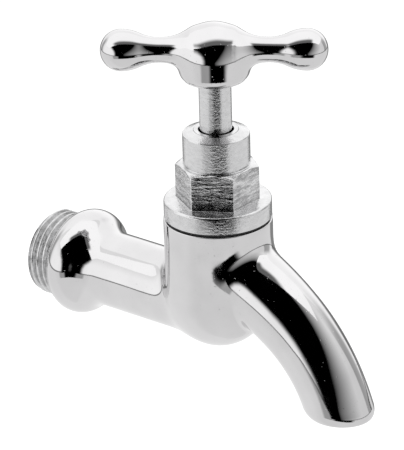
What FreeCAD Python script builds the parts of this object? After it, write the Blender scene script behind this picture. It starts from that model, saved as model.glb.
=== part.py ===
"""Wall-mounted cold water tap: a globe-valve bib tap with a two-armed handle.

Millimetres. +X runs out of the wall along the inlet pipe and +Z is up. The origin is on the inlet
axis, in the shoulder where the inlet thread ends and the bulb of the pipe begins. Every piece is
drawn about the upright axis of the barrel, where its own Z axis stands. The valve is closed: the
washer is on the seat.
"""
import FreeCAD
import Part
import Sketcher
import math
import os

Vector = FreeCAD.Vector

# Heights are above the inlet axis. Distances along the pipe are from the shoulder of the thread.
SIZES = {
    # Inlet thread, G 1/2. Its turns are rings, which stand in for the helix.
    "thread_radius": 10.4775,
    "thread_depth": 1.162,
    "thread_pitch": 1.814,
    "thread_root_flat": 0.30,
    "thread_flank_angle": 27.5,
    "thread_overcut": 0.3,
    "thread_length": 7.8,
    "thread_lead": 0.9,
    "thread_first_groove": 1.0,
    "thread_grooves": 4,
    # Inlet pipe
    "barrel_distance": 44.7,
    "bulb_inset": 0.3,
    "bulb_face_inset": 0.5,
    "bulb_top_distance": 3.6,
    "neck_distance": 13.9,
    "pipe_radius": 9.1,
    # Barrel
    "barrel_radius": 12.9,
    "barrel_top": 22.45,
    "barrel_bottom": -9.4,
    "pipe_fillet": 2.5,
    # Spout
    "spout_start_height": 11.8,
    "spout_start_angle": 15.8,
    "spout_first_bend": 67.0,
    "spout_first_angle": 36.0,
    "spout_second_bend": 39.5,
    "spout_second_angle": 70.5,
    "spout_straight_end": 6.0,
    "spout_root_radius": 9.3,
    "spout_mid_radius": 8.5,
    "spout_waist_radius": 8.1,
    "spout_end_radius": 8.4,
    "spout_fillet": 6.0,
    "mouth_height": -18.9,
    "mouth_rounding": 0.8,
    # Waterways in the casting
    "inlet_bore_radius": 6.5,
    "inlet_bore_end": 17.0,
    "inlet_taper_length": 3.8,
    "inlet_taper_radius": 2.5,
    "port_radius": 4.0,
    "port_height": -1.9,
    "floor_thickness": 3.0,
    "lower_chamber_radius": 7.6,
    "lower_chamber_rounding": 5.0,
    "partition_bottom": 2.4,
    "partition_thickness": 2.6,
    "chamber_wall": 3.6,
    "spout_bore_start_height": 13.2,
    "spout_bore_root_radius": 5.8,
    "spout_bore_radius": 6.0,
    "outlet_bore_radius": 6.6,
    "outlet_bore_depth": 3.0,
    # Screwed joints that stand still are plain cylinders with this gap between them
    "screw_gap": 0.05,
    # Renewable valve seat
    "seat_bore_radius": 4.6,
    "seat_thread_radius": 6.0,
    "seat_flange_radius": 6.9,
    "seat_flange_height": 0.6,
    "seat_lip_radius": 5.7,
    "seat_lip_height": 0.5,
    # Bonnet
    "gasket_inset": 0.45,
    "gasket_thickness": 0.6,
    "spigot_wall": 2.7,
    "spigot_length": 8.0,
    "skirt_wall": 1.6,
    "skirt_depth": 3.6,
    "flange_inset": 0.15,
    "flange_height": 4.3,
    "flange_chamfer": 0.5,
    "hex_flats": 17.35,
    "hex_height": 8.9,
    "hex_angle": 31.0,
    "hex_chamfer_angle": 30.0,
    "neck_radius": 7.93,
    "neck_height": 8.45,
    "neck_cone_radius": 5.6,
    "neck_cone_drop": 0.9,
    "stop_wall": 2.5,
    # Gland
    "packing_box_radius": 5.3,
    "packing_washer_thickness": 0.8,
    "packing_ring_height": 1.5,
    "packing_gap": 0.05,
    "follower_height": 1.2,
    "gland_bore_radius": 4.25,
    "gland_slot_width": 1.2,
    "gland_slot_depth": 1.2,
    "gland_slot_angle": 129.5,
    # Spindle
    "stem_radius": 3.82,
    "stem_gap": 0.12,
    "lift_thread_radius": 4.9,
    "lift_thread_gap": 0.06,
    "lift_thread_length": 13.3,
    "lift_thread_chamfer": 0.5,
    "lift": 6.0,
    "stop_gap": 0.2,
    "drive_flats": 5.2,
    "drive_length": 8.8,
    "drive_gap": 0.05,
    "drive_chamfer": 0.4,
    "drive_end_gap": 0.4,
    # Jumper, its washer and what holds them
    "closed_gap": 0.1,
    "jumper_stem_radius": 3.0,
    "jumper_stem_length": 8.6,
    "jumper_gap": 0.05,
    "jumper_play": 0.1,
    "jumper_end_gap": 0.4,
    "jumper_plate_gap": 1.2,
    "jumper_plate_thickness": 2.2,
    "cup_wall": 0.8,
    "cup_depth": 1.5,
    "stud_radius": 1.95,
    "stud_proud": 0.5,
    "seat_washer_thickness": 3.0,
    "washer_gap": 0.05,
    "backing_radius": 3.9,
    "backing_thickness": 0.6,
    "nut_flats": 7.0,
    "nut_height": 2.6,
    "clip_height": 5.4,
    "clip_groove_radius": 2.45,
    "clip_radius": 3.4,
    "clip_thickness": 0.8,
    "clip_mouth": 1.6,
    "clip_gap": 0.08,
    # Handle: hub and arms are measured from the centre of the bar
    "bar_angle": 36.2,
    "bar_height": 64.4,
    "bar_half_length": 26.7,
    "ball_radius": 4.9,
    "arm_waist_radius": 2.95,
    "arm_waist_distance": 12.8,
    "hub_radius": 8.2,
    "hub_centre_drop": 1.5,
    "hub_drop": 8.7,
    "hub_foot_radius": 5.2,
    "hub_counterbore_depth": 2.5,
    "hub_fillet": 3.5,
    # Grub screw in the rear of the hub, M4
    "grub_drop": 3.2,
    "grub_radius": 2.0,
    "grub_length": 4.0,
    "grub_key_flats": 2.0,
    "grub_key_depth": 1.8,
}


class Size:
    """A length or an angle: its value now, and the expression over the sheet that gives it."""

    def __init__(self, value, text):
        self.value = value
        self.text = text

    def __add__(self, other):
        other = as_size(other)
        return Size(self.value + other.value, "(%s + %s)" % (self.text, other.text))

    def __sub__(self, other):
        other = as_size(other)
        return Size(self.value - other.value, "(%s - %s)" % (self.text, other.text))

    def __mul__(self, other):
        other = as_size(other)
        return Size(self.value * other.value, "(%s * %s)" % (self.text, other.text))

    def __truediv__(self, other):
        other = as_size(other)
        return Size(self.value / other.value, "(%s / %s)" % (self.text, other.text))

    def __neg__(self):
        return Size(-self.value, "(0 - %s)" % self.text)


def as_size(number):
    return number if isinstance(number, Size) else Size(float(number), repr(number))


def sine(angle):
    return Size(math.sin(math.radians(angle.value)), "sin(%s * 1 deg)" % angle.text)


def cosine(angle):
    return Size(math.cos(math.radians(angle.value)), "cos(%s * 1 deg)" % angle.text)


def tangent(angle):
    return Size(math.tan(math.radians(angle.value)), "tan(%s * 1 deg)" % angle.text)


doc = FreeCAD.newDocument("tap")
sheet = doc.addObject("Spreadsheet::Sheet", "sizes")
for row, (word, number) in enumerate(SIZES.items(), start=1):
    sheet.set("A%d" % row, word)
    sheet.set("B%d" % row, str(number))
    sheet.setAlias("B%d" % row, word)
doc.recompute()


def size(word):
    return Size(float(sheet.get(word)), "sizes.%s" % word)


# Heights of the stack, from the seat up through the spindle
partition_top = size("partition_bottom") + size("partition_thickness")
seat_flange_top = partition_top + size("seat_flange_height")
seat_top = seat_flange_top + size("seat_lip_height")
washer_bottom = seat_top + size("closed_gap")
plate_bottom = washer_bottom + size("seat_washer_thickness")
plate_top = plate_bottom + size("jumper_plate_thickness")
clip_bottom = plate_top + size("clip_height")
clip_top = clip_bottom + size("clip_thickness")
spindle_bottom = plate_top + size("jumper_play")
lift_thread_top = spindle_bottom + size("lift_thread_length")
stop_height = lift_thread_top + size("lift") + size("stop_gap")

# Heights of the bonnet and of what its neck holds
spigot_bottom = size("barrel_top") - size("spigot_length")
skirt_top = spigot_bottom + size("skirt_depth")
flange_bottom = size("barrel_top") + size("gasket_thickness")
flange_top = flange_bottom + size("flange_height")
hex_top = flange_top + size("hex_height")
neck_top = hex_top + size("neck_height")
packing_box_bottom = stop_height + size("stop_wall")
packing_bottom = packing_box_bottom + size("packing_washer_thickness")
follower_bottom = packing_bottom + size("packing_ring_height") * 3
gland_bottom = follower_bottom + size("follower_height")

# Radii that follow the barrel's, outside it and inside
bulb_radius = size("barrel_radius") - size("bulb_inset")
flange_radius = size("barrel_radius") - size("flange_inset")
gasket_radius = flange_radius - size("gasket_inset")
chamber_radius = size("barrel_radius") - size("chamber_wall")
spigot_radius = size("barrel_radius") - size("spigot_wall")
skirt_bore_radius = spigot_radius - size("skirt_wall")
jumper_plate_radius = skirt_bore_radius - size("jumper_plate_gap")
seat_washer_radius = jumper_plate_radius - size("cup_wall")

# Heights where the spindle enters the hub and where its square drive begins
hub_bottom = size("bar_height") - size("hub_drop")
drive_bottom = hub_bottom + size("hub_counterbore_depth")

# The flared root of each arm begins inside the hub's dome
arm_root_distance = size("hub_radius") * 0.61
arm_root_radius = size("hub_radius") * 0.56


def bind(thing, prop, value):
    thing.setExpression(prop, as_size(value).text)


def new_body(name):
    """A body whose own Z axis is the axis of the barrel."""
    body = doc.addObject("PartDesign::Body", name)
    body.Label = name
    bind(body, "Placement.Base.x", size("barrel_distance"))
    return body


def stand_at_bar(body):
    """Move a body's origin to the centre of the handle's bar, with its X axis along the bar."""
    body.Placement = FreeCAD.Placement(Vector(0, 0, 0), FreeCAD.Rotation(Vector(0, 0, 1), 1))
    bind(body, "Placement.Base.x", size("barrel_distance"))
    bind(body, "Placement.Base.z", size("bar_height"))
    bind(body, "Placement.Rotation.Angle", size("bar_angle"))


def new_sketch(body, name, plane, offset=None):
    """A sketch on an origin plane of its body, or raised from that plane along its normal."""
    sketch = body.newObject("Sketcher::SketchObject", name)
    for feature in body.Origin.OriginFeatures:
        if feature.Role == plane:
            sketch.AttachmentSupport = (feature, [""])
    sketch.MapMode = "FlatFace"
    if offset is not None:
        bind(sketch, "AttachmentOffset.Base.z", offset)
    return sketch


def pin_coordinate(sketch, geometry, end, kind, value, axis):
    """Fix one coordinate of a point: on the axis where it is 0, else at its distance from it."""
    if isinstance(value, Size):
        index = sketch.addConstraint(Sketcher.Constraint(kind, -1, 1, geometry, end, value.value))
        sketch.setExpression("Constraints[%d]" % index, value.text)
    else:
        sketch.addConstraint(Sketcher.Constraint("PointOnObject", geometry, end, axis))


def pin_point(sketch, geometry, end, corner):
    across, up = corner[0], corner[1]
    if isinstance(across, Size) or isinstance(up, Size):
        pin_coordinate(sketch, geometry, end, "DistanceX", across, -2)
        pin_coordinate(sketch, geometry, end, "DistanceY", up, -1)
    else:
        sketch.addConstraint(Sketcher.Constraint("Coincident", geometry, end, -1, 1))


def plain(corner):
    return Vector(as_size(corner[0]).value, as_size(corner[1]).value, 0)


def bind_radius(sketch, geometry, radius):
    index = sketch.addConstraint(Sketcher.Constraint("Radius", geometry, radius.value))
    sketch.setExpression("Constraints[%d]" % index, radius.text)


def add_side(sketch, start, finish, radius):
    """Add the side from start to finish. Returns its index and the numbers of its two ends.

    A radius makes it an arc: counter-clockwise where it is positive, clockwise where negative.
    """
    if radius is None:
        return sketch.addGeometry(Part.LineSegment(start, finish)), 1, 2
    chord = finish - start
    middle = (start + finish) * 0.5
    to_left = Vector(-chord.y, chord.x, 0).normalize()
    rise = math.sqrt(max(radius.value ** 2 - (chord.Length / 2) ** 2, 0))
    counter_clockwise = radius.value > 0
    centre = middle + to_left * (rise if counter_clockwise else -rise)
    first, last = (start, finish) if counter_clockwise else (finish, start)
    begin = math.atan2(first.y - centre.y, first.x - centre.x)
    end = math.atan2(last.y - centre.y, last.x - centre.x)
    if end < begin:
        end += 2 * math.pi
    circle = Part.Circle(centre, Vector(0, 0, 1), abs(radius.value))
    index = sketch.addGeometry(Part.ArcOfCircle(circle, begin, end))
    bind_radius(sketch, index, radius if counter_clockwise else -radius)
    return (index, 1, 2) if counter_clockwise else (index, 2, 1)


def draw(sketch, corners, closed=True):
    """Draw through corners (across, up) or (across, up, radius of the side that follows)."""
    count = len(corners) if closed else len(corners) - 1
    sides = []
    for number in range(count):
        here = corners[number]
        there = corners[(number + 1) % len(corners)]
        radius = here[2] if len(here) > 2 else None
        sides.append(add_side(sketch, plain(here), plain(there), radius))
    for number, (index, start, finish) in enumerate(sides):
        pin_point(sketch, index, start, corners[number])
        if closed or number + 1 < count:
            after = sides[(number + 1) % count]
            join = Sketcher.Constraint("Coincident", index, finish, after[0], after[1])
            sketch.addConstraint(join)
        else:
            pin_point(sketch, index, finish, corners[number + 1])


def ring_sketch(body, name, plane, centre, radius, offset=None):
    """A sketch that holds one circle."""
    sketch = new_sketch(body, name, plane, offset)
    index = sketch.addGeometry(Part.Circle(plain(centre), Vector(0, 0, 1), radius.value))
    pin_point(sketch, index, 3, centre)
    bind_radius(sketch, index, radius)
    return sketch


def outline_sketch(body, name, plane, corners, offset=None):
    sketch = new_sketch(body, name, plane, offset)
    draw(sketch, corners)
    return sketch


def turned(body, name, corners, axis="V_Axis", plane="XZ_Plane"):
    """Add what an outline in a plane sweeps round an axis of that plane."""
    outline = outline_sketch(body, name + "_outline", plane, corners)
    solid = body.newObject("PartDesign::Revolution", name)
    solid.Profile = outline
    solid.ReferenceAxis = (outline, [axis])
    solid.Angle = 360
    doc.recompute()
    return solid


def cut_away(body, kind, name, settings):
    """Make a cutting feature of this kind, and check that it takes something away."""
    before = body.Tip.Shape.Volume
    cut = body.newObject(kind, name)
    for prop, value in settings.items():
        if isinstance(value, Size):
            bind(cut, prop, value)
        else:
            setattr(cut, prop, value)
    doc.recompute()
    if not cut.Shape.Volume < before:
        raise RuntimeError("%s in %s cuts nothing" % (name, body.Label))
    return cut


def turned_cut(body, name, corners, axis="V_Axis"):
    """Cut away what an outline in the XZ plane sweeps round an axis of that plane."""
    outline = outline_sketch(body, name + "_outline", "XZ_Plane", corners)
    settings = {"Profile": outline, "ReferenceAxis": (outline, [axis]), "Angle": 360}
    return cut_away(body, "PartDesign::Groove", name, settings)


def padded(body, name, sketch, length, reversed_way=False):
    pad = body.newObject("PartDesign::Pad", name)
    pad.Profile = sketch
    pad.Reversed = reversed_way
    bind(pad, "Length", length)
    doc.recompute()
    return pad


def pocket(body, name, sketch, length, reversed_way=False):
    settings = {"Profile": sketch, "Reversed": reversed_way, "Length": length}
    return cut_away(body, "PartDesign::Pocket", name, settings)


def edges_where(feature, wanted):
    """Names of the feature's edges whose points, at several places along them, are all wanted."""
    names = []
    for number, edge in enumerate(feature.Shape.Edges, start=1):
        first, last = edge.FirstParameter, edge.LastParameter
        points = [edge.valueAt(first + (last - first) * share) for share in (0.1, 0.3, 0.5, 0.7, 0.9)]
        if all(wanted(point) for point in points):
            names.append("Edge%d" % number)
    if not names:
        raise RuntimeError("no edge found on %s" % feature.Label)
    return names


def rounded(body, name, edges, radius):
    """Fillet named edges of the body's last feature."""
    base = body.Tip
    fillet = body.newObject("PartDesign::Fillet", name)
    fillet.Base = (base, edges)
    bind(fillet, "Radius", radius)
    doc.recompute()
    return fillet


def ring(name, inner, outer, bottom, top):
    """A plain ring about the barrel axis."""
    body = new_body(name)
    turned(body, "ring", [(inner, bottom), (outer, bottom), (outer, top), (inner, top)])
    return body


def hexagon(flats, angle):
    """Corners of a hexagon, the first at this angle from the X axis."""
    reach = flats / (cosine(as_size(30)) * 2)
    turns = [angle + 60 * number for number in range(6)]
    return [(reach * cosine(turn), reach * sine(turn)) for turn in turns]


def tangent_arc(run, rise):
    """Radius of the arc that leaves a line along its run and has moved aside by rise at its end."""
    return (run * run + rise * rise) / (rise * 2)


# The casting: inlet pipe, barrel and spout in one piece


def inlet_pipe(body):
    shoulder = -size("barrel_distance")
    end = shoulder - size("thread_length")
    lead = size("thread_lead")
    thread_radius = size("thread_radius")
    pipe_radius = size("pipe_radius")
    bulb_rise = size("bulb_face_inset")
    bulb_run = size("bulb_top_distance")
    half_fall = (bulb_radius - pipe_radius) / 2
    half_run = (size("neck_distance") - bulb_run) / 2
    fall_arc = tangent_arc(half_run, half_fall)
    turned(body, "inlet_pipe", [
        (end, 0),
        (end, thread_radius - lead),
        (end + lead, thread_radius),
        (shoulder, thread_radius),
        (shoulder, bulb_radius - bulb_rise, -tangent_arc(bulb_run, bulb_rise)),
        (shoulder + bulb_run, bulb_radius, -fall_arc),
        (shoulder + bulb_run + half_run, bulb_radius - half_fall, fall_arc),
        (shoulder + size("neck_distance"), pipe_radius),
        (0, pipe_radius),
        (0, 0),
    ], "H_Axis")


def barrel(body):
    """An upright cylinder that ends below in half a sphere."""
    radius = size("barrel_radius")
    bottom = size("barrel_bottom")
    turned(body, "barrel", [
        (0, bottom, radius),
        (radius, bottom + radius),
        (radius, size("barrel_top")),
        (0, size("barrel_top")),
    ])


def bend(place, radius, start, finish):
    """Where a downward bend ends that begins at place and turns from angle start to finish."""
    across = radius * (sine(finish) - sine(start))
    if isinstance(place[0], Size):
        across = place[0] + across
    return across, place[1] - radius * (cosine(start) - cosine(finish))


# The spout's centreline, from the barrel axis: two bends and a straight end
first_angle = size("spout_first_angle")
second_angle = size("spout_second_angle")
spout_start = (0, size("spout_start_height"))
spout_mid = bend(spout_start, size("spout_first_bend"), size("spout_start_angle"), first_angle)
spout_waist = bend(spout_mid, size("spout_second_bend"), first_angle, second_angle)
spout_end = (spout_waist[0] + size("spout_straight_end") * cosine(second_angle),
             spout_waist[1] - size("spout_straight_end") * sine(second_angle))


def spout_ring(body, name, place, angle, radius):
    """A circle square to the spout's centreline, where that points this angle downwards."""
    sketch = ring_sketch(body, name, "YZ_Plane", (0, 0), radius)
    tilt = FreeCAD.Rotation(Vector(1, 0, 0), 1)
    sketch.AttachmentOffset = FreeCAD.Placement(Vector(0, 0, 0), tilt)
    bind(sketch, "AttachmentOffset.Base.y", place[1])
    bind(sketch, "AttachmentOffset.Base.z", place[0])
    bind(sketch, "AttachmentOffset.Rotation.Angle", angle)
    return sketch


def spout_sections(body, prefix, start, radii):
    """Four circles along the spout's centreline, from the barrel axis to beyond the mouth."""
    root = ring_sketch(body, prefix + "_root", "YZ_Plane", start, radii[0])
    mid = spout_ring(body, prefix + "_mid", spout_mid, first_angle, radii[1])
    waist = spout_ring(body, prefix + "_waist", spout_waist, second_angle, radii[2])
    end = spout_ring(body, prefix + "_end", spout_end, second_angle, radii[3])
    return root, [mid, waist, end]


def spout_route(body):
    route = new_sketch(body, "spout_route", "XZ_Plane")
    draw(route, [
        spout_start + (-size("spout_first_bend"),),
        spout_mid + (-size("spout_second_bend"),),
        spout_waist,
        spout_end,
    ], closed=False)
    return route


def spout(body, route):
    radii = [size(word) for word in
             ("spout_root_radius", "spout_mid_radius", "spout_waist_radius", "spout_end_radius")]
    root, others = spout_sections(body, "spout", spout_start, radii)
    tube = body.newObject("PartDesign::AdditivePipe", "spout")
    tube.Profile = root
    tube.Spine = (route, [""])
    tube.Transformation = "Multisection"
    tube.Sections = others
    doc.recompute()
    mouth = size("mouth_height")
    near = spout_mid[0]
    far = size("barrel_distance") * 2
    below = outline_sketch(body, "below_mouth", "XZ_Plane", [
        (near, mouth),
        (far, mouth),
        (far, mouth * 2),
        (near, mouth * 2),
    ])
    settings = {"Profile": below, "Type": "ThroughAll", "Midplane": True}
    cut_away(body, "PartDesign::Pocket", "mouth_trim", settings)


def junction(body, side):
    """Edges where the barrel meets the pipe (side -1) or the spout (side 1)."""
    radius = size("barrel_radius").value
    dome_top = size("barrel_bottom").value + radius
    tolerance = 0.01

    def on_barrel(point):
        out = math.hypot(point.x, point.y)
        on_wall = abs(out - radius) < tolerance
        on_dome = point.z < dome_top + tolerance and out < radius
        return point.x * side > 0 and (on_wall or on_dome)

    curves = body.Tip.Shape.Edges
    names = edges_where(body.Tip, on_barrel)
    return [name for name in names if isinstance(curves[int(name[4:]) - 1].Curve, Part.BSplineCurve)]


def inlet_thread(body):
    """Rings of the thread's section, cut one pitch apart."""
    depth = size("thread_depth")
    root = size("thread_radius") - depth
    outer = size("thread_radius") + size("thread_overcut")
    centre = -size("barrel_distance") - size("thread_first_groove")
    half_root = size("thread_root_flat") / 2
    flank = (depth + size("thread_overcut")) * tangent(size("thread_flank_angle"))
    cut = turned_cut(body, "thread_groove", [
        (centre - half_root - flank, outer),
        (centre - half_root, root),
        (centre + half_root, root),
        (centre + half_root + flank, outer),
    ], "H_Axis")
    turns = body.newObject("PartDesign::LinearPattern", "thread_grooves")
    turns.Originals = [cut]
    turns.Direction = (cut.Profile[0], ["H_Axis"])
    turns.Reversed = True
    bind(turns, "Length", size("thread_pitch") * (size("thread_grooves") - 1))
    bind(turns, "Occurrences", size("thread_grooves"))
    body.Tip = turns
    doc.recompute()


def inlet_waterway(body):
    """The bore through the pipe, its tapered end, and the port into the chamber under the seat."""
    inlet_end = -size("barrel_distance") - size("thread_length")
    bore_end = -size("inlet_bore_end")
    turned_cut(body, "inlet_bore", [
        (inlet_end, 0),
        (inlet_end, size("inlet_bore_radius")),
        (bore_end, size("inlet_bore_radius")),
        (bore_end + size("inlet_taper_length"), size("inlet_taper_radius")),
        (bore_end + size("inlet_taper_length"), 0),
    ], "H_Axis")
    mouth = ring_sketch(body, "port_outline", "YZ_Plane", (0, size("port_height")), size("port_radius"))
    pocket(body, "port", mouth, size("inlet_bore_end"))


def chambers(body):
    """The chamber under the seat, the seat's hole, the valve chamber and the bonnet's thread."""
    lower_radius = size("lower_chamber_radius")
    rounding = size("lower_chamber_rounding")
    floor = size("barrel_bottom") + size("floor_thickness")
    seat_hole = size("seat_thread_radius") + size("screw_gap")
    bonnet_hole = spigot_radius + size("screw_gap")
    turned_cut(body, "chambers", [
        (0, floor),
        (lower_radius - rounding, floor, rounding),
        (lower_radius, floor + rounding),
        (lower_radius, size("partition_bottom")),
        (seat_hole, size("partition_bottom")),
        (seat_hole, partition_top),
        (chamber_radius, partition_top),
        (chamber_radius, spigot_bottom - size("stop_gap")),
        (bonnet_hole, spigot_bottom - size("stop_gap")),
        (bonnet_hole, size("barrel_top")),
        (0, size("barrel_top")),
    ])


def outlet_waterway(body, route):
    """The bore through the spout, and the upright counterbore in its mouth."""
    bore = size("spout_bore_radius")
    start = (0, size("spout_bore_start_height"))
    radii = [size("spout_bore_root_radius"), bore, bore, bore]
    root, others = spout_sections(body, "spout_bore", start, radii)
    settings = {"Profile": root, "Spine": (route, [""]), "Transformation": "Multisection",
                "Sections": others}
    cut_away(body, "PartDesign::SubtractivePipe", "spout_bore", settings)
    depth = size("outlet_bore_depth")
    mouth = size("mouth_height")
    middle = spout_waist[0] + (spout_waist[1] - mouth - depth / 2) / tangent(second_angle)
    hole = ring_sketch(body, "outlet_outline", "XY_Plane", (middle, 0), size("outlet_bore_radius"), mouth)
    pocket(body, "outlet_bore", hole, depth, True)


def tap_body():
    body = new_body("tap_body")
    inlet_pipe(body)
    barrel(body)
    route = spout_route(body)
    spout(body, route)
    rounded(body, "pipe_junction", junction(body, -1), size("pipe_fillet"))
    rounded(body, "spout_junction", junction(body, 1), size("spout_fillet"))
    mouth = size("mouth_height").value
    lip = edges_where(body.Tip, lambda point: abs(point.z - mouth) < 0.001)
    rounded(body, "mouth_lip", lip, size("mouth_rounding"))
    inlet_thread(body)
    inlet_waterway(body)
    chambers(body)
    outlet_waterway(body, route)
    return body


def valve_seat():
    """A ring screwed into the partition, with a raised lip for the washer."""
    body = new_body("valve_seat")
    bore = size("seat_bore_radius")
    turned(body, "seat", [
        (bore, size("partition_bottom")),
        (size("seat_thread_radius"), size("partition_bottom")),
        (size("seat_thread_radius"), partition_top),
        (size("seat_flange_radius"), partition_top),
        (size("seat_flange_radius"), seat_flange_top),
        (size("seat_lip_radius"), seat_flange_top),
        (size("seat_lip_radius"), seat_top),
        (bore, seat_top),
    ])
    return body


# The headwork: bonnet, gasket and gland


def bonnet_gasket():
    inner = spigot_radius + size("screw_gap")
    return ring("bonnet_gasket", inner, gasket_radius, size("barrel_top"), flange_bottom)


def bonnet():
    body = new_body("bonnet")
    chamfer = size("flange_chamfer")
    neck = size("neck_radius")
    turned(body, "spigot_flange_and_neck", [
        (0, spigot_bottom),
        (spigot_radius, spigot_bottom),
        (spigot_radius, flange_bottom),
        (flange_radius, flange_bottom),
        (flange_radius, flange_top - chamfer),
        (flange_radius - chamfer, flange_top),
        (neck, flange_top),
        (neck, neck_top - size("neck_cone_drop")),
        (size("neck_cone_radius"), neck_top),
        (0, neck_top),
    ])
    flats = size("hex_flats")
    corners = hexagon(flats, size("hex_angle"))
    padded(body, "spanner_flats",
           outline_sketch(body, "spanner_outline", "XY_Plane", corners, flange_top), size("hex_height"))
    beyond = flats
    drop = (beyond - flats / 2) * tangent(size("hex_chamfer_angle"))
    turned_cut(body, "spanner_chamfer", [
        (flats / 2, hex_top),
        (beyond, hex_top - drop),
        (beyond, hex_top),
    ])
    thread_hole = size("lift_thread_radius") + size("lift_thread_gap")
    stem_hole = size("stem_radius") + size("stem_gap")
    turned_cut(body, "bore", [
        (0, spigot_bottom),
        (skirt_bore_radius, spigot_bottom),
        (skirt_bore_radius, skirt_top),
        (thread_hole, skirt_top),
        (thread_hole, stop_height),
        (stem_hole, stop_height),
        (stem_hole, packing_box_bottom),
        (size("packing_box_radius"), packing_box_bottom),
        (size("packing_box_radius"), neck_top),
        (0, neck_top),
    ])
    return body


def gland_rings():
    """What lies in the packing box under the gland nut: washer, three packing rings, follower."""
    gap = size("packing_gap")
    inner = size("stem_radius") + gap
    outer = size("packing_box_radius") - gap
    rings = [ring("packing_washer", inner + gap, outer, packing_box_bottom, packing_bottom)]
    for number, place in enumerate(("lower", "middle", "upper")):
        bottom = packing_bottom + size("packing_ring_height") * number
        top = bottom + size("packing_ring_height")
        rings.append(ring("packing_ring_" + place, inner, outer, bottom, top))
    rings.append(ring("gland_follower", inner + gap, outer, follower_bottom, gland_bottom))
    return rings


def gland_nut():
    """A screwed ring, flush with the top of the neck, with a slot right across it for a key."""
    outer = size("packing_box_radius") - size("screw_gap")
    body = ring("gland_nut", size("gland_bore_radius"), outer, gland_bottom, neck_top)
    reach = size("packing_box_radius") * 2
    half = size("gland_slot_width") / 2
    slot = outline_sketch(body, "slot_outline", "XY_Plane",
                          [(-reach, -half), (reach, -half), (reach, half), (-reach, half)], neck_top)
    bind(slot, "AttachmentOffset.Rotation.Angle", size("gland_slot_angle"))
    pocket(body, "slot", slot, size("gland_slot_depth"))
    return body


# The moving pieces: spindle, jumper and handle


def spindle():
    body = new_body("spindle")
    socket = size("jumper_stem_radius") + size("jumper_gap")
    socket_top = plate_top + size("jumper_stem_length") + size("jumper_end_gap")
    clip_gap = size("clip_gap")
    groove = size("clip_radius") + clip_gap
    thread = size("lift_thread_radius")
    chamfer = size("lift_thread_chamfer")
    stem = size("stem_radius")
    turned(body, "screw_and_stem", [
        (0, socket_top),
        (socket, socket_top),
        (socket, clip_top + clip_gap),
        (groove, clip_top + clip_gap),
        (groove, clip_bottom - clip_gap),
        (socket, clip_bottom - clip_gap),
        (socket, spindle_bottom),
        (thread - chamfer, spindle_bottom),
        (thread, spindle_bottom + chamfer),
        (thread, lift_thread_top - chamfer),
        (thread - chamfer, lift_thread_top),
        (stem, lift_thread_top),
        (stem, drive_bottom),
        (0, drive_bottom),
    ])
    half = size("drive_flats") / 2
    square = [(-half, -half), (half, -half), (half, half), (-half, half)]
    outline = outline_sketch(body, "drive_outline", "XY_Plane", square, drive_bottom)
    bind(outline, "AttachmentOffset.Rotation.Angle", size("bar_angle"))
    drive = padded(body, "drive", outline, size("drive_length"))
    top = (drive_bottom + size("drive_length")).value
    tips = edges_where(drive, lambda point: abs(point.z - top) < 0.001)
    bevel = body.newObject("PartDesign::Chamfer", "drive_bevel")
    bevel.Base = (drive, tips)
    bind(bevel, "Size", size("drive_chamfer"))
    doc.recompute()
    return body


def jumper():
    """Plate with a cup for the washer, a stud below it, and a stem that the spindle turns on."""
    body = new_body("jumper")
    stud = size("stud_radius")
    stud_bottom = (washer_bottom - size("backing_thickness") - size("nut_height")
                   - size("stud_proud"))
    plate = jumper_plate_radius
    cup = seat_washer_radius + size("washer_gap")
    cup_bottom = plate_bottom - size("cup_depth")
    stem = size("jumper_stem_radius")
    groove = size("clip_groove_radius")
    clip_gap = size("clip_gap")
    turned(body, "stud_plate_and_stem", [
        (0, stud_bottom),
        (stud, stud_bottom),
        (stud, plate_bottom),
        (cup, plate_bottom),
        (cup, cup_bottom),
        (plate, cup_bottom),
        (plate, plate_top),
        (stem, plate_top),
        (stem, clip_bottom - clip_gap),
        (groove, clip_bottom - clip_gap),
        (groove, clip_top + clip_gap),
        (stem, clip_top + clip_gap),
        (stem, plate_top + size("jumper_stem_length")),
        (0, plate_top + size("jumper_stem_length")),
    ])
    return body


def jumper_clip():
    """An open ring in the stem's groove, which the groove in the spindle's socket lifts."""
    inner = size("clip_groove_radius") + size("clip_gap")
    body = ring("jumper_clip", inner, size("clip_radius"), clip_bottom, clip_top)
    half = size("clip_mouth") / 2
    reach = size("clip_radius") * 2
    mouth = outline_sketch(body, "mouth_outline", "XY_Plane",
                           [(0, -half), (reach, -half), (reach, half), (0, half)], clip_top)
    pocket(body, "mouth", mouth, size("clip_thickness"))
    return body


def seat_washer():
    inner = size("stud_radius") + size("washer_gap")
    return ring("seat_washer", inner, seat_washer_radius, washer_bottom, plate_bottom)


def backing_washer():
    inner = size("stud_radius") + size("washer_gap")
    bottom = washer_bottom - size("backing_thickness")
    return ring("backing_washer", inner, size("backing_radius"), bottom, washer_bottom)


def washer_nut():
    body = new_body("washer_nut")
    top = washer_bottom - size("backing_thickness")
    bottom = top - size("nut_height")
    corners = hexagon(size("nut_flats"), as_size(0))
    padded(body, "nut", outline_sketch(body, "nut_outline", "XY_Plane", corners, bottom),
           size("nut_height"))
    hole = ring_sketch(body, "nut_hole_outline", "XY_Plane", (0, 0),
                       size("stud_radius") + size("washer_gap"), top)
    pocket(body, "nut_hole", hole, size("nut_height"))
    return body


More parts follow.
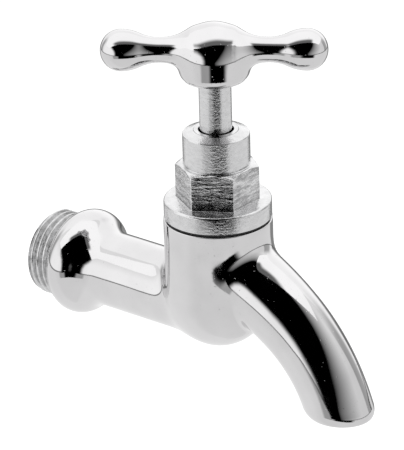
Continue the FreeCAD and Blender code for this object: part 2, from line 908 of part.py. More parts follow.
def arm_outline():
    """Half of the bar, from the hub out: flare, waist, swell and the round end."""
    end = size("bar_half_length")
    ball = size("ball_radius")
    waist = size("arm_waist_radius")
    waist_at = size("arm_waist_distance")
    half_swell = (ball - waist) / 2
    half_run = (end - ball - waist_at) / 2
    flare_arc = tangent_arc(waist_at - arm_root_distance, arm_root_radius - waist)
    swell_arc = tangent_arc(half_run, half_swell)
    return [
        (arm_root_distance, arm_root_radius, flare_arc),
        (waist_at, waist, swell_arc),
        (waist_at + half_run, waist + half_swell, -swell_arc),
        (end - ball, ball, -ball),
        (end, 0),
    ]


def mirrored(half):
    """The same outline on the other side of the upright axis, run back towards it."""
    arcs = [corner[2:] for corner in half]
    return [(-corner[0], corner[1]) + arcs[number - 1] if number else (-corner[0], corner[1])
            for number, corner in reversed(list(enumerate(half)))]


def arm_junctions(body):
    """Edges where the two arms run into the hub."""
    hub = size("hub_radius").value
    tolerance = 0.01

    def in_both(point):
        in_hub = math.hypot(point.x, point.y) < hub + tolerance
        in_arm = math.hypot(point.y, point.z) < arm_root_radius.value + tolerance
        return in_hub and in_arm

    return edges_where(body.Tip, in_both)


def handle():
    body = new_body("handle")
    stand_at_bar(body)
    half = arm_outline()
    # The seams of the bar and of the hub lie apart, so that the fillet crosses them one by one
    turned(body, "bar", mirrored(half) + half, "H_Axis", "XY_Plane")
    hub = size("hub_radius")
    foot = size("hub_foot_radius")
    drop = size("hub_drop")
    centre = -size("hub_centre_drop")
    turned(body, "hub", [
        (0, -drop),
        (foot, -drop, tangent_arc(drop + centre, hub - foot)),
        (hub, centre, hub),
        (0, centre + hub),
    ], plane="YZ_Plane")
    rounded(body, "arm_junctions", arm_junctions(body), size("hub_fillet"))
    gap = size("drive_gap")
    shoulder = size("hub_counterbore_depth") - drop
    turned_cut(body, "stem_counterbore", [
        (0, -drop),
        (size("stem_radius") + gap, -drop),
        (size("stem_radius") + gap, shoulder),
        (0, shoulder),
    ])
    side = size("drive_flats") / 2 + gap
    square = [(-side, -side), (side, -side), (side, side), (-side, side)]
    socket = outline_sketch(body, "socket_outline", "XY_Plane", square, shoulder)
    pocket(body, "drive_socket", socket, size("drive_length") + size("drive_end_gap"), True)
    hole = ring_sketch(body, "grub_hole_outline", "XZ_Plane", (0, -size("grub_drop")),
                       size("grub_radius") + size("screw_gap"))
    pocket(body, "grub_hole", hole, size("hub_radius") * 2)
    return body


def grub_screw():
    """The screw behind the hub that bears on a flat of the spindle's square."""
    body = new_body("grub_screw")
    stand_at_bar(body)
    height = -size("grub_drop")
    tip = size("drive_flats") / 2 + size("drive_gap")
    outline = ring_sketch(body, "shank_outline", "XZ_Plane", (0, height), size("grub_radius"), -tip)
    padded(body, "shank", outline, size("grub_length"), True)
    corners = [(across, up + height) for across, up in hexagon(size("grub_key_flats"), as_size(0))]
    key = outline_sketch(body, "key_outline", "XZ_Plane", corners, -(tip + size("grub_length")))
    pocket(body, "key", key, size("grub_key_depth"), True)
    return body


builders = (tap_body, valve_seat, bonnet_gasket, bonnet, gland_rings, gland_nut, spindle, jumper,
            jumper_clip, seat_washer, backing_washer, washer_nut, handle, grub_screw)
pieces = []
for builder in builders:
    made = builder()
    pieces.extend(made if isinstance(made, list) else [made])
doc.recompute()

for thing in doc.Objects:
    if "Invalid" in thing.State or "Error" in thing.State:
        raise RuntimeError("%s failed: %s" % (thing.Label, thing.State))
for piece in pieces:
    if piece.Shape.isNull() or not piece.Shape.isValid() or len(piece.Shape.Solids) != 1:
        raise RuntimeError("%s is not one valid solid" % piece.Label)

os.makedirs("parts", exist_ok=True)
for piece in pieces:
    piece.Shape.exportStep("parts/%s.step" % piece.Label)
    print(piece.Label, round(piece.Shape.Volume, 1))
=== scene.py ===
"""Looks of the wall-mounted cold water tap: plated casting and handle, machined headwork.

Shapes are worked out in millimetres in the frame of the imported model, with +X along the inlet pipe
and +Z up, and become metres where a mesh is made. The polished pieces are surfaces where a field is
zero: a rough mesh is drawn onto the field, and its normals are the field's slope. The nodes that no
piece replaces keep their own meshes and get a material.
"""
import bmesh
import bpy
import math
import numpy as np
from mathutils import Matrix, Vector

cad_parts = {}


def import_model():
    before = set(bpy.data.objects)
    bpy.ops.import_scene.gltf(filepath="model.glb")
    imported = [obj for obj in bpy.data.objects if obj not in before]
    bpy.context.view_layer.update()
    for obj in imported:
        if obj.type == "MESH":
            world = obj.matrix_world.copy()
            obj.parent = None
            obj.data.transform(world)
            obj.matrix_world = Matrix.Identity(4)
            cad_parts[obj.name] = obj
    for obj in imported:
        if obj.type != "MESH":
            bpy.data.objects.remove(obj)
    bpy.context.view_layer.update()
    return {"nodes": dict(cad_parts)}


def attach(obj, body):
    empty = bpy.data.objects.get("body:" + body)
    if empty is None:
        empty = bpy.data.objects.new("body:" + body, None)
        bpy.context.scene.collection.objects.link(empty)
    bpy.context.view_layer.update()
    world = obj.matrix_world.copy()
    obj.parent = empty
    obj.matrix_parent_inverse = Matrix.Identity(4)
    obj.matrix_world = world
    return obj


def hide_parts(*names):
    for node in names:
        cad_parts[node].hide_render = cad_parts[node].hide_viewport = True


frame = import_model()
nodes = frame["nodes"]

METRE = 0.001

# Inlet: the thread ends at x = 0, where the bulb begins. The taper is the drill's tip
THREAD_RADIUS = 10.4775
THREAD_DEPTH = 1.162
THREAD_PITCH = 1.814
THREAD_LENGTH = 7.8
THREAD_LEAD = 0.9
INLET_BORE = 6.5
INLET_BORE_END = 27.7
INLET_TAPER = 3.8
BULB_FACE_RADIUS = 11.6
BULB_RADIUS = 12.9
BULB_TOP = 3.4
BULB_CREST_SHARE = 0.4
BULB_END = 12.3
PIPE_RADIUS = 9.1
CASTING_EDGE = 0.25

# Barrel
BARREL_X = 44.7
BARREL_RADIUS = 12.9
BARREL_TOP = 22.45
BARREL_BOTTOM = -9.4
PIPE_FILLET = 2.5

# Spout: centreline from the barrel's axis, two bends and a straight end. Angles are below level
SPOUT_START = 11.8
SPOUT_ANGLES = (15.8, 36.0, 70.5)
SPOUT_BENDS = (67.0, 39.5)
SPOUT_STRAIGHT = 6.0
SPOUT_RADII = (9.3, 8.5, 8.1, 8.32)
SPOUT_FILLET = 2.0
MOUTH_Z = -18.9
MOUTH_X = 79.914
MOUTH_ROUNDING = 1.4
MOUTH_LIP = 2.6
MOUTH_BORE = 6.6
MOUTH_BORE_DEPTH = 3.0
SPOUT_BORE = 6.0
SPOUT_BORE_REACH = (44, 14)

# Headwork
GASKET = (22.45, 23.05)
GASKET_RADIUS = 12.3
FLANGE = (23.05, 27.35)
FLANGE_RADIUS = 12.75
HEX_TOP = 36.25
HEX_FLATS = 17.35
HEX_ANGLE = 31.0
HEX_CHAMFER = 30.0
HEX_ROUNDING = 0.5
NECK_RADIUS = 7.93
NECK_TOP = 44.7
NECK_CONE_RADIUS = 5.6
NECK_CONE_DROP = 0.9
PACKING_BOX_RADIUS = 5.3
PACKING_BOX_SEEN = 36.0
STEM_RADIUS = 3.82

# Radii at which the barrel's top, the gasket and the flange end, out of sight between them
BARREL_TOP_INNER = 10.35
GASKET_INNER = 10.3
FLANGE_INNER = 10.15

# Handle, measured from the centre of its bar
BAR_HEIGHT = 64.4
BAR_ANGLE = 36.2
BAR_END = 26.4
BALL_RADIUS = 4.9
WAIST_RADIUS = 2.95
WAIST = 12.8
HUB_RADIUS = 8.05
HUB_DOME_DROP = 1.5
HUB_FOOT = -5.2
HUB_BOTTOM = -7.0
HUB_FOOT_RADIUS = 6.4
HUB_FILLET = 2.6
HUB_POCKET = -6.2
GRUB_DROP = 3.2
GRUB_HOLE = 2.05
DRIVE_HALF = 2.65

# Stage. Azimuths are 0 towards -Y and 90 towards +X, and plain white has brightness 1
FRONT = 40
PAPER = 1.4
LOW_WALLS = ((-180, 1.4), (-145, 1.4), (-112, 1.2), (-98, 1.1), (-92, 0.5), (-80, 0.5),
             (-74, 1.1), (-60, 1.3), (-20, 1.33), (60, 0.95), (140, 0.9), (143, 0.45),
             (163, 0.55), (172, 1.2), (180, 1.4))
STUDIO_CENTRE = (50, 0, 20)
STUDIO_RADIUS = 900
TABLE_LEVEL = -149
CEILING_LEVEL = 125
FLOOR_LEVEL = -150
FLOOR_GLOW = 0.69
ROOM_LIGHT = 0.55

# The photograph's camera, which sees its target at a place in the image
CAMERA_AZIMUTH = 39.547
CAMERA_ELEVATION = 24.970
CAMERA_ROLL = 1.423
CAMERA_DISTANCE = 900
CAMERA_TARGET = (44.74, 0, 0)
TARGET_IN_IMAGE = (220.42, 302.88)
IMAGE_SIZE = (404, 450)
PIXELS_PER_MM = 4.2115


# Meshes

def grid_faces(rows, columns, closed=True, start=0):
    """Quads between the rows of a grid whose columns run round and, where closed, meet."""
    faces = []
    for row in range(rows - 1):
        for column in range(columns if closed else columns - 1):
            after = (column + 1) % columns
            low = start + row * columns
            faces.append((low + column, low + after, low + columns + after, low + columns + column))
    return faces


def even_turns(count):
    return np.linspace(0, 2 * math.pi, count, endpoint=False)


def turned_points(outline, angles, axis="z", centre=(0, 0)):
    """Points of an outline of (radius, along) turned about an axis through centre."""
    points = []
    for radius, along in outline:
        for angle in angles:
            first = centre[0] + radius * math.cos(angle)
            second = centre[1] + radius * math.sin(angle)
            points.append((first, second, along) if axis == "z" else (along, first, second))
    return points


def make_mesh(name, points, faces):
    mesh = bpy.data.meshes.new(name)
    mesh.from_pydata([Vector(point) * METRE for point in points], [], faces)
    mesh.validate()
    return mesh


def tidy(mesh, weld=0.002):
    """Weld points that coincide and turn every face outwards."""
    work = bmesh.new()
    work.from_mesh(mesh)
    bmesh.ops.remove_doubles(work, verts=work.verts, dist=weld * METRE)
    bmesh.ops.recalc_face_normals(work, faces=work.faces)
    work.to_mesh(mesh)
    work.free()


def coordinates(mesh):
    flat = np.empty(len(mesh.vertices) * 3)
    mesh.vertices.foreach_get("co", flat)
    return flat.reshape(-1, 3) / METRE


def set_coordinates(mesh, points):
    mesh.vertices.foreach_set("co", (points * METRE).ravel())
    mesh.update()


def netted(field, low, high, cell):
    """Points in the cells of a grid that a field's surface runs through, and quads between them."""
    axes = [np.arange(start, end + cell, cell) for start, end in zip(low, high)]
    grid = np.stack(np.meshgrid(*axes, indexing="ij"), axis=-1)
    inside = field(grid.reshape(-1, 3)).reshape(grid.shape[:3]) < 0
    x, y, z = (count - 1 for count in inside.shape)
    corners = sum(inside[a:a + x, b:b + y, c:c + z].astype(int)
                  for a in (0, 1) for b in (0, 1) for c in (0, 1))
    crossed = (corners > 0) & (corners < 8)
    number = np.full(crossed.shape, -1)
    number[crossed] = np.arange(crossed.sum())
    points = grid[:x, :y, :z][crossed] + cell / 2
    faces = []
    for axis in range(3):
        order = (axis, (axis + 1) % 3, (axis + 2) % 3)
        here = np.moveaxis(inside, order, (0, 1, 2))[:-1, 1:-1, 1:-1]
        there = np.moveaxis(inside, order, (0, 1, 2))[1:, 1:-1, 1:-1]
        cells = np.moveaxis(number, order, (0, 1, 2))
        around = np.stack([cells[:, :-1, :-1], cells[:, 1:, :-1],
                           cells[:, 1:, 1:], cells[:, :-1, 1:]], axis=-1)
        faces += around[here & ~there].tolist()
        faces += around[~here & there][:, ::-1].tolist()
    return points, faces


def surface(name, field, low, high, cell):
    """An even mesh of the surface where a field is zero."""
    points, faces = netted(field, low, high, cell)
    mesh = make_mesh(name, drawn_onto(field, points), faces)
    relax(mesh, field, rounds=8)
    return mesh


# Fields: each gives, for an array of points, how far they are outside a surface

def slope(field, points, step=0.05):
    """Unit vectors along which the field grows fastest."""
    parts = []
    for axis in range(3):
        move = np.zeros(3)
        move[axis] = step
        parts.append(field(points + move) - field(points - move))
    vectors = np.stack(parts, axis=1)
    return vectors / np.linalg.norm(vectors, axis=1, keepdims=True)


def drawn_onto(field, points, rounds=4):
    for _ in range(rounds):
        points = points - slope(field, points) * field(points)[:, None]
    return points


def relax(mesh, field, rounds):
    """Even out the quads along the surface, then draw them onto it again."""
    ends = np.array([edge.vertices[:] for edge in mesh.edges])
    count = np.bincount(ends.ravel(), minlength=len(mesh.vertices))[:, None]
    points = coordinates(mesh)
    pull = 0.6
    for _ in range(rounds):
        total = np.zeros_like(points)
        np.add.at(total, ends[:, 0], points[ends[:, 1]])
        np.add.at(total, ends[:, 1], points[ends[:, 0]])
        points = drawn_onto(field, points * (1 - pull) + total / count * pull, 1)
    set_coordinates(mesh, drawn_onto(field, points, 3))


def blended(first, second, reach):
    """The union of two fields with a soft hollow between them, as a polished casting has."""
    spread = reach * 1.757
    near = np.maximum(spread - np.abs(first - second), 0) / spread
    return np.minimum(first, second) - near ** 3 * spread / 6


def arc_below(top, radius, offset):
    """Height of an arc at an offset from its top."""
    return top - radius + np.sqrt(np.maximum(radius ** 2 - offset ** 2, 0.01))


def tangent_radius(run, rise):
    """Radius of an arc that starts level and climbs this much over a run."""
    return (run * run + rise * rise) / (rise * 2)


def softened(profile, along, reach):
    """A profile averaged over a short reach, so that its curvature has no jumps."""
    shifts = np.linspace(-1, 1, 9)
    weights = 1 - np.abs(shifts) * 0.9
    return sum(profile(along + shift * reach) * weight
               for shift, weight in zip(shifts, weights)) / weights.sum()


def turned_field(profile, along, out, reach):
    """Distance from a turned surface whose radius at each place along its axis is a profile."""
    radius = softened(profile, along, reach)
    lean = (softened(profile, along + 0.05, reach) - softened(profile, along - 0.05, reach)) / 0.1
    return (out - radius) / np.sqrt(1 + lean ** 2)


def pipe_profile(x):
    """Radius along the inlet: the bulb's face, its crest, the hollow behind it, the plain pipe."""
    run, rise = BULB_END - BULB_TOP, BULB_RADIUS - PIPE_RADIUS
    face_arc = tangent_radius(BULB_TOP, BULB_RADIUS - BULB_FACE_RADIUS)
    crest_arc = tangent_radius(run, rise) * BULB_CREST_SHARE
    hollow_arc = tangent_radius(run, rise) * (1 - BULB_CREST_SHARE)
    bulb = arc_below(BULB_RADIUS, face_arc, x - BULB_TOP)
    crest = arc_below(BULB_RADIUS, crest_arc, x - BULB_TOP)
    hollow = 2 * PIPE_RADIUS - arc_below(PIPE_RADIUS, hollow_arc, BULB_END - x)
    return np.select([x < BULB_TOP, x < BULB_TOP + run * BULB_CREST_SHARE, x < BULB_END],
                     [bulb, crest, hollow], PIPE_RADIUS)


def pipe_field(points):
    beyond = np.maximum(points[:, 0] - BARREL_X, 0)
    out = np.sqrt(points[:, 1] ** 2 + points[:, 2] ** 2 + beyond ** 2)
    return turned_field(pipe_profile, points[:, 0], out, reach=0.7)


def barrel_field(points):
    middle = BARREL_BOTTOM + BARREL_RADIUS
    below = np.minimum(points[:, 2] - middle, 0)
    return np.sqrt((points[:, 0] - BARREL_X) ** 2 + points[:, 1] ** 2 + below ** 2) - BARREL_RADIUS


def spout_line():
    """The two bends in the XZ plane, then the place and the length where the straight starts.

    A bend is its centre, its radius, its first and last angle, and the length where it starts.
    """
    place = np.array([BARREL_X, SPOUT_START])
    bends = []
    length = 0.0
    for number, radius in enumerate(SPOUT_BENDS):
        begin, end = (math.radians(SPOUT_ANGLES[number + turn]) for turn in (0, 1))
        centre = place - radius * np.array([math.sin(begin), math.cos(begin)])
        bends.append((centre, radius, begin, end, length))
        place = centre + radius * np.array([math.sin(end), math.cos(end)])
        length += radius * (end - begin)
    return bends, place, length


SPOUT_LINE = spout_line()


def spout_radius(length):
    """Radius of the spout at a length of its centreline, smooth from barrel to mouth."""
    bends, _, waist = SPOUT_LINE
    stations = (0.0, bends[1][4], waist, waist + SPOUT_STRAIGHT)
    cubic = np.polyfit(stations, SPOUT_RADII, 3)
    return np.polyval(cubic, np.clip(length, 0, stations[-1]))


def spout_field(points):
    x, y, z = points.T
    bends, end, waist = SPOUT_LINE
    last = math.radians(SPOUT_ANGLES[2])
    run = (x - end[0]) * math.cos(last) - (z - end[1]) * math.sin(last)
    run = np.clip(run, 0, SPOUT_STRAIGHT * 3)
    gaps = [np.sqrt((x - end[0] - run * math.cos(last)) ** 2
                    + (z - end[1] + run * math.sin(last)) ** 2 + y ** 2)]
    lengths = [waist + run]
    for centre, radius, begin, finish, length in bends:
        angle = np.clip(np.arctan2(x - centre[0], z - centre[1]), begin, finish)
        gaps.append(np.sqrt((x - centre[0] - radius * np.sin(angle)) ** 2
                            + (z - centre[1] - radius * np.cos(angle)) ** 2 + y ** 2))
        lengths.append(length + radius * (angle - begin))
    nearest = np.argmin(gaps, axis=0)
    return np.min(gaps, axis=0) - spout_radius(np.choose(nearest, lengths))


def casting_field(points):
    trunk = blended(pipe_field(points), barrel_field(points), PIPE_FILLET)
    return blended(trunk, spout_field(points), SPOUT_FILLET)


# The casting

def spout_place(length):
    """A point of the spout's centreline, and the angle that the line points down there."""
    bends, end, waist = SPOUT_LINE
    for centre, radius, begin, finish, start in bends:
        angle = begin + (length - start) / radius
        if angle <= finish:
            return centre + radius * np.array([math.sin(angle), math.cos(angle)]), angle
    last = math.radians(SPOUT_ANGLES[2])
    return end + (length - waist) * np.array([math.cos(last), -math.sin(last)]), last


def cut_open(work, place, way):
    """Cut a mesh with a plane and drop what lies beyond it. Returns the edges of the cut."""
    everything = work.verts[:] + work.edges[:] + work.faces[:]
    result = bmesh.ops.bisect_plane(work, geom=everything, plane_co=Vector(place) * METRE,
                                    plane_no=Vector(way), clear_outer=True, dist=1e-8)
    return [item for item in result["geom_cut"] if isinstance(item, bmesh.types.BMEdge)]


def extended(work, edges, rows):
    """Grow rows of faces from a rim. A row is a function from a point of the rim to its place."""
    sides = [edge.verts[:] for edge in edges]
    before = {vertex: vertex for side in sides for vertex in side}
    points = {vertex: Vector(vertex.co) / METRE for vertex in before}
    for row in rows:
        after = {vertex: work.verts.new(Vector(row(point)) * METRE)
                 for vertex, point in points.items()}
        for first, second in sides:
            work.faces.new((before[first], before[second], after[second], after[first]))
        before = after


def about_pipe(radius, x):
    """A row at a radius from the pipe's axis, at a place along it."""
    def row(point):
        out = math.hypot(point.y, point.z)
        return x, point.y / out * radius, point.z / out * radius
    return row


def about_barrel(radius, z):
    """A row at a radius from the barrel's axis, at a height."""
    def row(point):
        out = math.hypot(point.x - BARREL_X, point.y)
        return BARREL_X + (point.x - BARREL_X) / out * radius, point.y / out * radius, z
    return row


def rounded_corner(size, steps=4):
    """Offsets (inwards, onwards) of a rounded edge that turns through a right angle."""
    turns = [math.pi / 2 * step / steps for step in range(1, steps + 1)]
    return [(size * (1 - math.cos(turn)), size * math.sin(turn)) for turn in turns]


def mouth_lip(inwards, drop):
    """A row round the mouth, drawn in and lower than the cut by so much, along the spout's lean."""
    def row(point):
        across = Vector((point.x - MOUTH_X, point.y, 0)).normalized()
        lean = drop / math.tan(math.radians(SPOUT_ANGLES[2]))
        return (point.x + lean - across.x * inwards, point.y - across.y * inwards,
                MOUTH_Z + MOUTH_LIP - drop)
    return row


def mouth_bore(radius, z):
    """A row round the mouth's own upright axis."""
    def row(point):
        across = Vector((point.x - MOUTH_X, point.y, 0)).normalized()
        return MOUTH_X + across.x * radius, across.y * radius, z
    return row


def spout_bore(length, radius):
    """A row square to the spout's centreline, at a length along it."""
    place, angle = spout_place(length)

    def row(point):
        across = Vector((point.x - MOUTH_X, point.y, 0)).normalized()
        outward = radius * across.x
        return (place[0] + outward * math.sin(angle), radius * across.y,
                place[1] + outward * math.cos(angle))
    return row


def finished(work, name):
    """Weld what the cuts left too narrow, turn every face outwards and make the mesh."""
    bmesh.ops.remove_doubles(work, verts=work.verts, dist=0.004 * METRE)
    bmesh.ops.recalc_face_normals(work, faces=work.faces)
    mesh = bpy.data.meshes.new(name)
    work.to_mesh(mesh)
    work.free()
    return mesh


def close_bulb_face(work):
    """Round the bulb's face off and run it in under the thread."""
    edge = CASTING_EDGE
    face = float(pipe_profile(np.array([edge]))[0])
    rim = cut_open(work, (edge, 0, 0), (-1, 0, 0))
    rows = [about_pipe(face - inwards, edge - onwards)
            for inwards, onwards in rounded_corner(edge)]
    extended(work, rim, rows + [about_pipe(THREAD_RADIUS - THREAD_DEPTH - 0.1, 0)])


def close_barrel_top(work):
    """Round the barrel's top off and run it in under the gasket."""
    edge = CASTING_EDGE
    rim = cut_open(work, (BARREL_X, 0, BARREL_TOP - edge), (0, 0, 1))
    rows = [about_barrel(BARREL_RADIUS - inwards, BARREL_TOP - edge + onwards)
            for inwards, onwards in rounded_corner(edge)]
    extended(work, rim, rows + [about_barrel(BARREL_TOP_INNER, BARREL_TOP)])


def open_mouth(work):
    """Give the spout its lip, its mouth and the bore up to the barrel."""
    rim = cut_open(work, (MOUTH_X, 0, MOUTH_Z + MOUTH_LIP), (0, 0, -1))
    edge = 0.15
    start, end = SPOUT_BORE_REACH
    rows = [mouth_lip(inwards * MOUTH_ROUNDING, onwards * MOUTH_LIP)
            for inwards, onwards in rounded_corner(1, 10)]
    rows += [mouth_bore(MOUTH_BORE + edge, MOUTH_Z), mouth_bore(MOUTH_BORE, MOUTH_Z + edge),
             mouth_bore(MOUTH_BORE, MOUTH_Z + MOUTH_BORE_DEPTH)]
    rows += [spout_bore(length, SPOUT_BORE) for length in np.linspace(start, end, 14)]
    rows += [spout_bore(end, 0)]
    extended(work, rim, rows)


def casting_mesh():
    """Bulb, pipe, barrel and spout in one."""
    mesh = surface("casting", casting_field, (-1.5, -14, -21), (92, 14, 24), 0.55)
    work = bmesh.new()
    work.from_mesh(mesh)
    close_bulb_face(work)
    close_barrel_top(work)
    open_mouth(work)
    return finished(work, "casting")


def polished(mesh, field):
    """Set normals: the field's slope on its surface, the mesh's own on rims and at sharp edges."""
    gap, sharp, alike = 0.02, 35, 0.9
    points = coordinates(mesh)
    on_field = np.abs(field(points)) < gap
    grown = slope(field, points)
    mesh.set_sharp_from_angle(angle=math.radians(sharp))
    mesh.polygons.foreach_set("use_smooth", np.ones(len(mesh.polygons), dtype=bool))
    normals = np.array([corner.vector[:] for corner in mesh.corner_normals])
    corners = np.empty(len(mesh.loops), dtype=int)
    mesh.loops.foreach_get("vertex_index", corners)
    agree = (normals * grown[corners]).sum(axis=1) > alike
    use = on_field[corners] & agree
    normals[use] = grown[corners][use]
    mesh.normals_split_custom_set(normals)


def thread_depth_at(share):
    """Depth below the crest, from 0 to 1, at a place from 0 to 1 along one pitch."""
    crest, flank = 0.19, 0.62
    share = np.abs((share % 1.0) - 0.5) * 2
    depth = np.clip((share - crest) / flank, 0, 1)
    return depth * depth * (3 - 2 * depth)


def thread_stations():
    """Places along the thread, closest together where its flanks meet crest and root."""
    half_pitch = np.array([0.0, 0.05, 0.085, 0.12, 0.2, 0.3, 0.36, 0.40, 0.43, 0.46])
    marks = np.concatenate([half_pitch, [0.5], 1 - half_pitch[:0:-1]])
    pitches = int(THREAD_LENGTH / THREAD_PITCH) + 2
    return np.concatenate([(marks + number) * THREAD_PITCH for number in range(pitches)])


def thread_line(angle):
    """The thread's outline at an angle round it, where its crests lie further on as it turns."""
    wear, past_bulb_face = 0.03, 0.02
    start = THREAD_PITCH * (angle / (2 * math.pi) - 1) - THREAD_LENGTH
    x = np.clip(start + thread_stations(), -THREAD_LENGTH, past_bulb_face)
    depth = THREAD_DEPTH * thread_depth_at((x - start) / THREAD_PITCH)
    lead = THREAD_RADIUS - THREAD_LEAD + (x + THREAD_LENGTH)
    radius = np.minimum(THREAD_RADIUS - wear - depth, lead)
    return [(place, out * math.cos(angle), out * math.sin(angle)) for place, out in zip(x, radius)]


def inlet_bore_outline():
    """From the thread's end face into the bore and down the drill's tip."""
    edge, tip = 0.35, INLET_BORE_END + INLET_TAPER
    return [(THREAD_RADIUS - THREAD_LEAD, -THREAD_LENGTH), (INLET_BORE + edge, -THREAD_LENGTH),
            (INLET_BORE, -THREAD_LENGTH + edge), (INLET_BORE, INLET_BORE_END - 20),
            (INLET_BORE, INLET_BORE_END), (2.5, tip), (0.02, tip + 0.5)]


def thread_mesh():
    """The helical thread with its lead, the end face and the inlet bore behind it."""
    turns = even_turns(180)
    rows = list(zip(*[thread_line(turn) for turn in turns]))
    points = [point for row in rows for point in row]
    bore = inlet_bore_outline()
    faces = grid_faces(len(rows), len(turns))
    faces += grid_faces(len(bore), len(turns), start=len(points))
    points += turned_points(bore, turns, "x")
    mesh = make_mesh("inlet_thread", points, faces)
    tidy(mesh)
    return mesh


# The handle

def in_bar_frame(points):
    """Points seen from the centre of the bar, with X along it."""
    angle = math.radians(BAR_ANGLE)
    x = points[:, 0] - BARREL_X
    return np.stack([x * math.cos(angle) + points[:, 1] * math.sin(angle),
                     points[:, 1] * math.cos(angle) - x * math.sin(angle),
                     points[:, 2] - BAR_HEIGHT], axis=1)


def from_bar_frame(point):
    angle = math.radians(BAR_ANGLE)
    return (BARREL_X + point[0] * math.cos(angle) - point[1] * math.sin(angle),
            point[0] * math.sin(angle) + point[1] * math.cos(angle), point[2] + BAR_HEIGHT)


def bar_profile(along):
    """Radius of the bar at a place on it: flare, waist and swell, up to the ball's centre."""
    along = np.abs(along)
    root, root_radius, taper = HUB_RADIUS * 0.61, HUB_RADIUS * 0.56, 0.45
    centre = BAR_END - BALL_RADIUS
    half = (centre - WAIST) / 2
    flare = tangent_radius(WAIST - root, root_radius - WAIST_RADIUS)
    swell = tangent_radius(half, (BALL_RADIUS - WAIST_RADIUS) / 2)
    near = 2 * WAIST_RADIUS - arc_below(WAIST_RADIUS, flare, WAIST - along)
    hollow = 2 * WAIST_RADIUS - arc_below(WAIST_RADIUS, swell, along - WAIST)
    ball = arc_below(BALL_RADIUS, swell, centre - along)
    buried = root_radius - (root - along) * taper
    return np.select([along < root, along < WAIST, along < WAIST + half, along < centre],
                     [buried, near, hollow, ball], BALL_RADIUS)


def bar_field(points):
    out = np.hypot(points[:, 1], points[:, 2])
    arm = turned_field(bar_profile, points[:, 0], out, reach=0.6)
    beyond = np.abs(points[:, 0]) - (BAR_END - BALL_RADIUS)
    ball = np.hypot(beyond, out) - BALL_RADIUS
    return np.where(beyond > 0, ball, arm)


def hub_profile(z):
    """Upright under the dome, then rounded in to the foot."""
    share = np.clip((HUB_FOOT - z) / (HUB_FOOT - HUB_BOTTOM), 0, 0.98)
    return HUB_FOOT_RADIUS + (HUB_RADIUS - HUB_FOOT_RADIUS) * np.sqrt(1 - share ** 2)


def hub_field(points):
    out = np.hypot(points[:, 0], points[:, 1])
    above = points[:, 2] + HUB_DOME_DROP
    dome = np.hypot(out, np.maximum(above, 0)) - HUB_RADIUS
    flank = turned_field(hub_profile, points[:, 2], out, reach=0.4)
    return np.where(above > 0, dome, flank)


def handle_field(points):
    local = in_bar_frame(points)
    return blended(bar_field(local), hub_field(local), HUB_FILLET)


def about_hub(radius, z):
    """A row about the barrel's axis too, with its height from the centre of the bar."""
    return about_barrel(radius, BAR_HEIGHT + z)


def about_grub_hole(point, radius):
    """A point moved in or out until it is at a radius from the grub hole's axis."""
    share = radius / math.hypot(point[0], point[2] + GRUB_DROP)
    return [point[0] * share, point[1], (point[2] + GRUB_DROP) * share - GRUB_DROP]


def near_grub_hole(point, reach):
    """Whether a point of the mesh is behind the hub and within reach of the hole's axis."""
    place = in_bar_frame(np.array([point / METRE]))[0]
    return place[1] > DRIVE_HALF and math.hypot(place[0], place[2] + GRUB_DROP) < reach


def onto_hub(place):
    """The point of the handle's surface straight behind or before a place in the bar's frame."""
    for _ in range(3):
        place[1] -= handle_field(np.array([from_bar_frame(place)]))[0]
    return from_bar_frame(place)


def grub_wall(depth=None, level=None):
    """A row of the hole's wall, this much deeper than its rim or at a level."""
    def row(point):
        place = about_grub_hole(in_bar_frame(np.array([point]))[0], GRUB_HOLE)
        place[1] = place[1] - depth if level is None else level
        return from_bar_frame(place)
    return row


def grub_opening(work):
    """Open a round hole behind the hub and give it a wall down to the square of the spindle."""
    inside = [face for face in work.faces if near_grub_hole(face.calc_center_median(), GRUB_HOLE)]
    bmesh.ops.delete(work, geom=inside, context="FACES")
    rim = [edge for edge in work.edges
           if edge.is_boundary and near_grub_hole(edge.verts[0].co, GRUB_HOLE * 1.6)]
    chamfer = 0.2
    for vertex in {vertex for edge in rim for vertex in edge.verts}:
        place = in_bar_frame(np.array([vertex.co / METRE]))[0]
        vertex.co = Vector(onto_hub(about_grub_hole(place, GRUB_HOLE + chamfer))) * METRE
    extended(work, rim, [grub_wall(depth=chamfer), grub_wall(level=DRIVE_HALF)])


def close_hub_foot(work):
    """Round the hub's foot off and run it into the pocket that the stem stands in."""
    edge = 0.3
    rim = cut_open(work, (BARREL_X, 0, BAR_HEIGHT + HUB_BOTTOM + edge), (0, 0, -1))
    foot = float(hub_profile(np.array([HUB_BOTTOM + edge]))[0])
    rows = [about_hub(foot - inwards, HUB_BOTTOM + edge - onwards)
            for inwards, onwards in rounded_corner(edge)]
    bore, chamfer = STEM_RADIUS + 0.05, 0.2
    rows += [about_hub(bore + chamfer, HUB_BOTTOM), about_hub(bore, HUB_BOTTOM + chamfer),
             about_hub(bore, HUB_POCKET), about_hub(0, HUB_POCKET)]
    extended(work, rim, rows)


def handle_mesh():
    """The hub and its two arms in one."""
    low = (20, -20, BAR_HEIGHT + HUB_BOTTOM - 1)
    mesh = surface("handle", handle_field, low, (70, 20, 73), 0.4)
    work = bmesh.new()
    work.from_mesh(mesh)
    close_hub_foot(work)
    grub_opening(work)
    return finished(work, "handle")


# The headwork

def hexagon_reach(angle):
    """Distance from the axis to the hexagon with its softened corners, at an angle round it."""
    half_side = math.pi / 6
    share = (angle - math.radians(HEX_ANGLE) + half_side) % (2 * half_side) - half_side
    flat = HEX_FLATS / 2 / math.cos(half_side - abs(share))
    corner = HEX_FLATS / 2 / math.cos(half_side) - HEX_ROUNDING * (1 / math.cos(half_side) - 1)
    return min(flat, corner * (1 - share ** 2 / 2))


